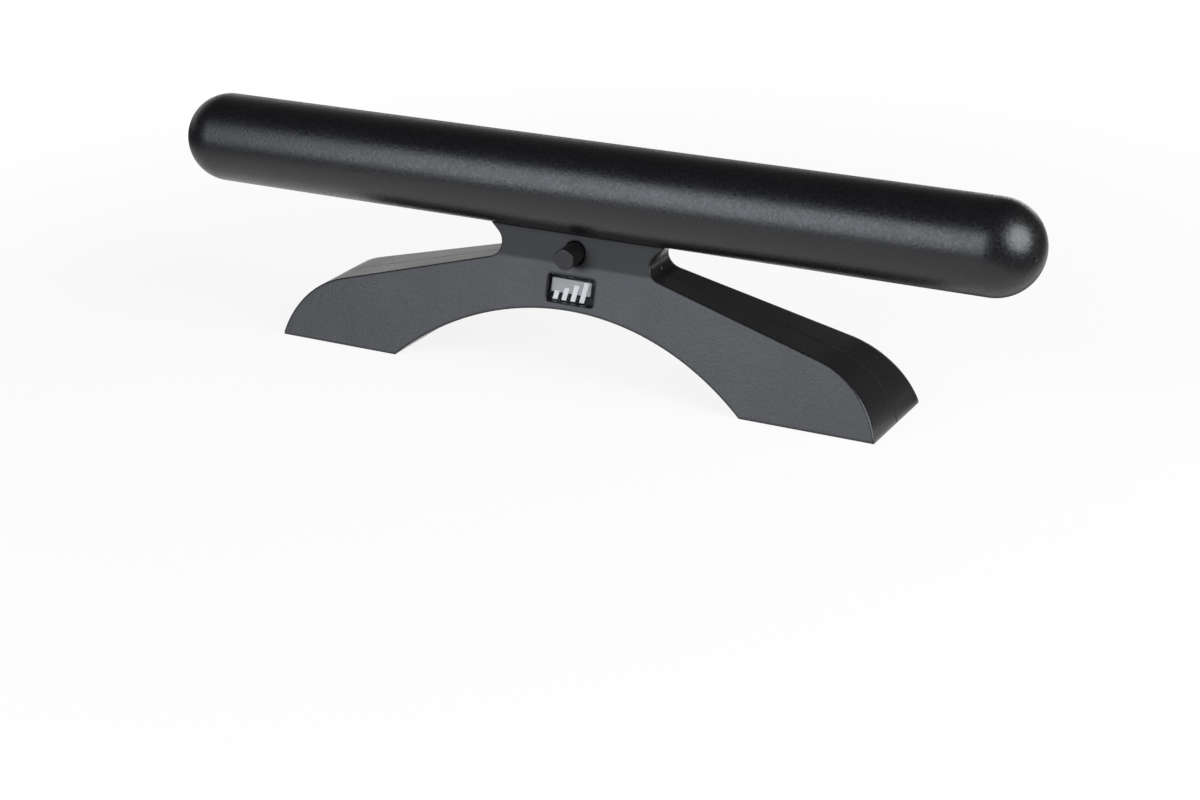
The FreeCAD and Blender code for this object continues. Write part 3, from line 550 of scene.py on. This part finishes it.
def metal(name, tone, roughness, stretch=(1, 1, 1)):
    """Plated or rolled metal with fine drawn lines along its long direction."""
    material, tree, shader = new_material(name)
    lines = noise(tree, DRAWN_SIZE, FINE_DETAIL, FINE_ROUGHNESS, stretch)
    stain = noise(tree, STAIN_SIZE)
    link = tree.links.new
    link(mottle(tree, stain, tuple(c * STAIN_DEPTH for c in tone), tone), shader.inputs["Base Color"])
    gloss = spread(tree, lines, roughness - DRAWN_SHINE, roughness + DRAWN_DULLING)
    link(gloss, shader.inputs["Roughness"])
    link(bump(tree, lines, DRAWN_RELIEF), shader.inputs["Normal"])
    shader.inputs["Metallic"].default_value = 1.0
    return material


def stand_plastic():
    """Black ABS: grained matt faces, a smoother duller band round the neck, satin walls and edges, with
    painted shade along the edges.
    """
    material, tree, shader = new_material("stand_abs")
    spot = node(tree, "TexCoord")
    at = node(tree, "SeparateXYZ", {"Vector": spot.outputs["Object"]})
    across = calc(tree, "ABSOLUTE", at.outputs["X"])
    aside = calc(tree, "ABSOLUTE", at.outputs["Y"])
    turned = node(tree, "SeparateXYZ", {"Vector": spot.outputs["Normal"]}).outputs["Y"]
    turned = calc(tree, "ABSOLUTE", turned)
    # The grain stops short of every outer edge, which stays smooth and a little rounder and carries a
    # painted shade that darkens it.
    straight = node(tree, "NewGeometry").outputs["Normal"]
    eased = node(tree, "Bevel", {"Radius": EDGE_EASE}, samples=EDGE_SAMPLES).outputs["Normal"]
    outer = spread(tree, aside, 0.0, 1.0, SEAM_CLEAR, 2 * SEAM_CLEAR)
    eased = node(tree, "Mix", {"Factor": outer, VECTOR_A: straight, VECTOR_B: eased},
                 data_type="VECTOR").outputs[VECTOR_RESULT]
    bent = node(tree, "VectorMath", {0: eased, 1: straight}, operation="DOT_PRODUCT").outputs["Value"]
    flat = spread(tree, bent, 0.0, 1.0, EDGE_BENT, EDGE_FLAT)
    face = calc(tree, "MULTIPLY", spread(tree, turned, 0.0, 1.0, WALL_TURN, FACE_TURN), flat)
    band = spread(tree, at.outputs["Z"], 0.0, 1.0, NECK_BAND - NECK_BAND_BLEND, NECK_BAND + NECK_BAND_BLEND)
    grained = calc(tree, "SUBTRACT", face, band, clamp=True)
    seam = spread(tree, aside, 1.0, 0.0, SEAM_INNER, SEAM_OUTER)
    fine = noise(tree, STAND_GRAIN, FINE_DETAIL, STAND_GRAIN_ROUGHNESS)
    cloud = noise(tree, STAND_CLOUD, FINE_DETAIL)
    tone = blend(tree, face, mottle(tree, fine, *WALL_TONES), mottle(tree, fine, *BAND_TONES))
    tone = blend(tree, grained, tone, mottle(tree, fine, *FACE_TONES))
    # Painted shade: the outer edges are painted darker than the faces.
    tone = blend(tree, flat, EDGE_PAINTED_SHADE, tone)
    gloss = blend(tree, face, spread(tree, cloud, *WALL_GLOSS), spread(tree, cloud, *BAND_GLOSS))
    gloss = blend(tree, grained, gloss, spread(tree, cloud, *FACE_GLOSS))
    gloss = blend(tree, seam, gloss, spread(tree, across, SEAM_CRISP, SEAM_DULL, CRISP_END, DULL_START))
    grain = calc(tree, "MULTIPLY", fine, spread(tree, grained, SMOOTH_RELIEF, 1.0, 0.0, 1.0))
    link = tree.links.new
    link(tone, shader.inputs["Base Color"])
    link(gloss, shader.inputs["Roughness"])
    link(bump(tree, grain, STAND_RELIEF, eased), shader.inputs["Normal"])
    return material


def clear_acrylic():
    """Clear lens with a glare coat; light passes straight through it to the sign behind."""
    material, tree, shader = new_material("clear_lens")
    haze = noise(tree, LENS_HAZE_SIZE)
    tree.links.new(spread(tree, haze, *LENS_GLOSS), shader.inputs["Roughness"])
    shader.inputs["Base Color"].default_value = LENS_TINT
    shader.inputs["Transmission Weight"].default_value = 1.0
    shader.inputs["IOR"].default_value = LENS_INDEX
    through = node(tree, "BsdfTransparent", {"Color": LENS_PASSING_TINT})
    rays = node(tree, "LightPath").outputs
    lit = calc(tree, "MAXIMUM", rays["Is Shadow Ray"], rays["Is Diffuse Ray"])
    surface(tree, lit, shader, through)
    return material


def paint(node_names, material):
    """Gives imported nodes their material."""
    for name in node_names:
        slots = nodes[name].data.materials
        slots.clear()
        slots.append(material)


radome = moulded("radome_abs", tone=(0.0060, 0.0060, 0.0065), roughness=0.33, grain=1.0 * MM,
                 relief=0.07 * MM, glint=0.09)
build_tube().data.materials.append(radome)
for name, side in (("left_end_cap", -1), ("right_end_cap", 1)):
    build_cap(name, side).data.materials.append(radome)

build_sign([
    moulded("sign_black", tone=(0.010, 0.010, 0.011), roughness=0.65, Specular_IOR_Level=0.1),
    # The grey field is a painted reflection of the front softbox in the lens.
    moulded("sign_painted_reflection", tone=(0.345, 0.335, 0.33), roughness=0.5, contrast=0.04, Specular_IOR_Level=0.2),
    moulded("sign_white", tone=(0.73, 0.71, 0.70), roughness=0.5, contrast=0.03, Specular_IOR_Level=0.2),
])

paint(["front_shell", "rear_shell"], stand_plastic())
paint(["sign_lens"], clear_acrylic())
paint(["gain_knob"], moulded("knob_abs", tone=(0.0085, 0.0085, 0.0088), roughness=0.38, grain=0.4 * MM,
                             relief=0.008 * MM))
paint(["amplifier_board"], moulded("laminate", tone=(0.02, 0.11, 0.045), roughness=0.4, grain=1.2 * MM,
                                   contrast=0.3))
paint(["board_transistors", "trimmer_housing"],
      moulded("epoxy", tone=(0.015, 0.015, 0.016), roughness=0.55))
paint(["filter_capacitors"], moulded("sleeve", tone=(0.02, 0.03, 0.08), roughness=0.35))
paint(["balun_core"], moulded("ferrite", tone=(0.045, 0.043, 0.042), roughness=0.6, contrast=0.3))
paint(["indicator_led"], moulded("led_resin", tone=(0.12, 0.5, 0.16), roughness=0.15, contrast=0.05,
                                 Transmission_Weight=0.6))
paint(["coax_insulator", "dipole_holder", "left_strip_spacer", "right_strip_spacer", "trimmer_rotor"],
      moulded("natural_polymer", tone=(0.62, 0.60, 0.55), roughness=0.45, contrast=0.05))
paint(["left_dipole_strip", "right_dipole_strip"],
      metal("rolled_aluminium", tone=(0.80, 0.81, 0.82), roughness=0.32, stretch=(0.05, 1, 1)))
paint(["left_feed_wire", "right_feed_wire"], metal("copper", tone=(0.86, 0.46, 0.30), roughness=0.3))
nickel = metal("nickel", tone=(0.72, 0.69, 0.63), roughness=0.26)
paint(["coax_contact"], nickel)
build_socket().data.materials.append(nickel)
steel = metal("zinc_steel", tone=(0.62, 0.62, 0.60), roughness=0.34)
paint(["strip_screws", "board_screws"], steel)
build_screws().data.materials.append(steel)

# Floor, light and camera

FLOOR_HALF = 4.0
FLOOR_CELLS = 8
FLOOR_DROP = 0.05 * MM
# Seen straight, the sheet turns plain white all round the object over these distances.
WHITE_START, WHITE_END = 0.20, 0.40
WHITE_NEAR = 0.87
# In reflections the sheet darkens to the front and sides, carries a painted shade beside the right
# foot, and a painted shadow of the object behind it on that side.
SHEET_START, SHEET_END = 0.18, 0.38
SHEET_TO_THE_RIGHT = [(0.110, 1.0), (0.122, 0.76), (0.150, 0.76), (0.165, 1.0), (0.20, 1.0), (0.27, 0.0)]
SHEET_MIRRORED = 0.97
SHADE_CENTRE = Vector((115, 85, 0)) * MM
SHADE_INNER, SHADE_OUTER = 45 * MM, 80 * MM
DARK_FLOOR, WHITE_PAPER = 0.12, 0.92

STUDIO_CENTRE = Vector((0, 0, 45 * MM))
LAMP_DISTANCE = 1.2
# Angles in degrees, sizes in metres
LAMPS = {
    "front_softbox": dict(azimuth=-22, elevation=21.3, width=0.83, height=0.90, irradiance=2.38,
                          tint=(0.95, 0.99, 1.08), shape="RECTANGLE"),
    "right_softbox": dict(azimuth=80, elevation=27, width=1.08, height=1.0, irradiance=4.1,
                          tint=(0.98, 1.01, 1.03), shape="ELLIPSE"),
    "back_card": dict(azimuth=180, elevation=5, width=0.50, height=0.26, irradiance=0.22,
                      tint=(1.0, 1.0, 1.0), shape="RECTANGLE"),
}

# Brightness of the backdrop by the sine of the elevation
BACKDROP_HEIGHT = [(0.08, 1.0), (0.36, 0.30), (0.60, 0.08), (0.80, 0.01)]
# How far a direction points to the rear where the backdrop starts and where it is full
BACKDROP_START, BACKDROP_FULL = -0.1, 0.45
# It is bright on the left and dim from the middle to the right.
BACKDROP_BRIGHT_X, BACKDROP_DIM_X = -0.60, -0.05
BACKDROP_DIM = 0.1
STUDIO_LEVEL = 0.015

# The camera stands where the photograph was taken from.
CAMERA_AZIMUTH = math.radians(29.196)
CAMERA_ELEVATION = math.radians(22.524)
CAMERA_ROLL = math.radians(-1.363)
CAMERA_DISTANCE = 834.05 * MM
CAMERA_TARGET = Vector((4.663, 0, -11.765)) * MM
SENSOR_WIDTH = 36.0
IMAGE_WIDTH = 1200
FOCAL_PIXELS = 2377.4


def direction(azimuth, elevation):
    """Unit vector from the object, azimuth 0 to the front and 90 to the right."""
    level = math.cos(elevation)
    return Vector((math.sin(azimuth) * level, -math.cos(azimuth) * level, math.sin(elevation)))


def paper_material():
    """White paper that lifts to plain white for the camera and in reflections, with painted shade beside the
    right foot and a painted shadow behind it.
    """
    material, tree, shader = new_material("floor_paper")
    tree.nodes.remove(shader)
    at = node(tree, "TexCoord").outputs["Object"]
    spot = node(tree, "SeparateXYZ", {"Vector": at}).outputs
    around = node(tree, "VectorMath", {0: at}, operation="LENGTH").outputs["Value"]
    close = spread(tree, around, 1.0, 0.0, WHITE_START, WHITE_END)
    ahead = node(tree, "CombineXYZ", {"X": spot["X"], "Y": calc(tree, "MINIMUM", spot["Y"], 0.0)})
    away = node(tree, "VectorMath", {0: ahead.outputs["Vector"]}, operation="LENGTH").outputs["Value"]
    near = spread(tree, away, 1.0, 0.0, SHEET_START, SHEET_END)
    # Painted shade: the sheet is dimmer beside the right foot.
    reach = ramp(tree, spot["X"], SHEET_TO_THE_RIGHT)
    # Painted shadow of the object on the floor, behind it on the right
    apart = node(tree, "VectorMath", {0: at, 1: SHADE_CENTRE}, operation="DISTANCE").outputs["Value"]
    shade = spread(tree, apart, 1.0, 0.0, SHADE_INNER, SHADE_OUTER)
    sheet = calc(tree, "MULTIPLY", near, calc(tree, "SUBTRACT", reach, shade, clamp=True))
    rays = node(tree, "LightPath").outputs
    tone = calc(tree, "MAXIMUM", sheet, rays["Is Camera Ray"])
    paper = node(tree, "BsdfDiffuse", {"Color": ramp(tree, tone, [(0.0, DARK_FLOOR), (1.0, WHITE_PAPER)])})
    white = node(tree, "Emission", {"Color": (1, 1, 1, 1), "Strength": 1.0})
    seen = calc(tree, "MAXIMUM", rays["Is Camera Ray"], rays["Is Transmission Ray"])
    straight = calc(tree, "MULTIPLY", seen, spread(tree, close, 1.0, WHITE_NEAR, 0.0, 1.0))
    mirrored = spread(tree, sheet, 0.0, SHEET_MIRRORED, 0.0, 1.0)
    mirrored = calc(tree, "MULTIPLY", rays["Is Glossy Ray"], mirrored)
    surface(tree, calc(tree, "MAXIMUM", straight, mirrored), paper, white)
    return material


def build_floor():
    bm = bmesh.new()
    bmesh.ops.create_grid(bm, x_segments=FLOOR_CELLS, y_segments=FLOOR_CELLS, size=FLOOR_HALF)
    floor = bpy.data.objects.new("floor", mesh_of("floor", bm))
    floor.location.z = -FLOOR_DROP
    bpy.context.scene.collection.objects.link(floor)
    floor.data.materials.append(paper_material())


def softbox(name, azimuth, elevation, width, height, irradiance, tint, shape):
    """An area lamp that faces the object and lights it with a given irradiance."""
    lamp = bpy.data.lights.new(name, "AREA")
    lamp.shape = shape
    lamp.color = tint
    lamp.size, lamp.size_y = width, height
    lamp.energy = math.pi * LAMP_DISTANCE ** 2 * irradiance
    made = bpy.data.objects.new(name, lamp)
    bpy.context.scene.collection.objects.link(made)
    away = direction(math.radians(azimuth), math.radians(elevation))
    made.location = STUDIO_CENTRE + away * LAMP_DISTANCE
    made.rotation_euler = away.to_track_quat("Z", "Y").to_euler()
    made.visible_camera = False


def build_world():
    """A dark studio with a low white backdrop behind; the camera sees plain white."""
    world = bpy.data.worlds.new("studio")
    bpy.context.scene.world = world
    world.use_nodes = True
    tree = world.node_tree
    look = node(tree, "SeparateXYZ", {"Vector": node(tree, "TexCoord").outputs["Generated"]}).outputs
    height = ramp(tree, look["Z"], BACKDROP_HEIGHT)
    behind = spread(tree, look["Y"], 0.0, 1.0, BACKDROP_START, BACKDROP_FULL)
    aside = spread(tree, look["X"], 1.0, BACKDROP_DIM, BACKDROP_BRIGHT_X, BACKDROP_DIM_X)
    backdrop = calc(tree, "MULTIPLY", calc(tree, "MULTIPLY", height, behind), aside)
    studio = calc(tree, "ADD", backdrop, STUDIO_LEVEL)
    rays = node(tree, "LightPath").outputs
    seen = calc(tree, "MAXIMUM", rays["Is Camera Ray"], rays["Is Transmission Ray"])
    # Light that has already met a matt surface isn't lifted to white.
    seen = calc(tree, "SUBTRACT", seen, rays["Diffuse Depth"])
    background = tree.nodes["Background"]
    background.inputs["Color"].default_value = (1, 1, 1, 1)
    tree.links.new(calc(tree, "MAXIMUM", studio, seen), background.inputs["Strength"])


def build_camera():
    lens = bpy.data.cameras.new("photo_view")
    lens.sensor_fit = "HORIZONTAL"
    lens.sensor_width = SENSOR_WIDTH
    lens.lens = FOCAL_PIXELS / IMAGE_WIDTH * SENSOR_WIDTH
    camera = bpy.data.objects.new("photo_view", lens)
    bpy.context.scene.collection.objects.link(camera)
    back = direction(CAMERA_AZIMUTH, CAMERA_ELEVATION)
    right = Vector((math.cos(CAMERA_AZIMUTH), math.sin(CAMERA_AZIMUTH), 0))
    turn = Matrix((right, back.cross(right), back)).transposed().to_4x4()
    camera.matrix_world = (Matrix.Translation(CAMERA_TARGET + back * CAMERA_DISTANCE) @ turn
                           @ Matrix.Rotation(CAMERA_ROLL, 4, "Z"))
    bpy.context.scene.camera = camera


build_floor()
for name, setting in LAMPS.items():
    softbox(name, **setting)
build_world()
build_camera()
bpy.context.scene.view_settings.view_transform = "Standard"
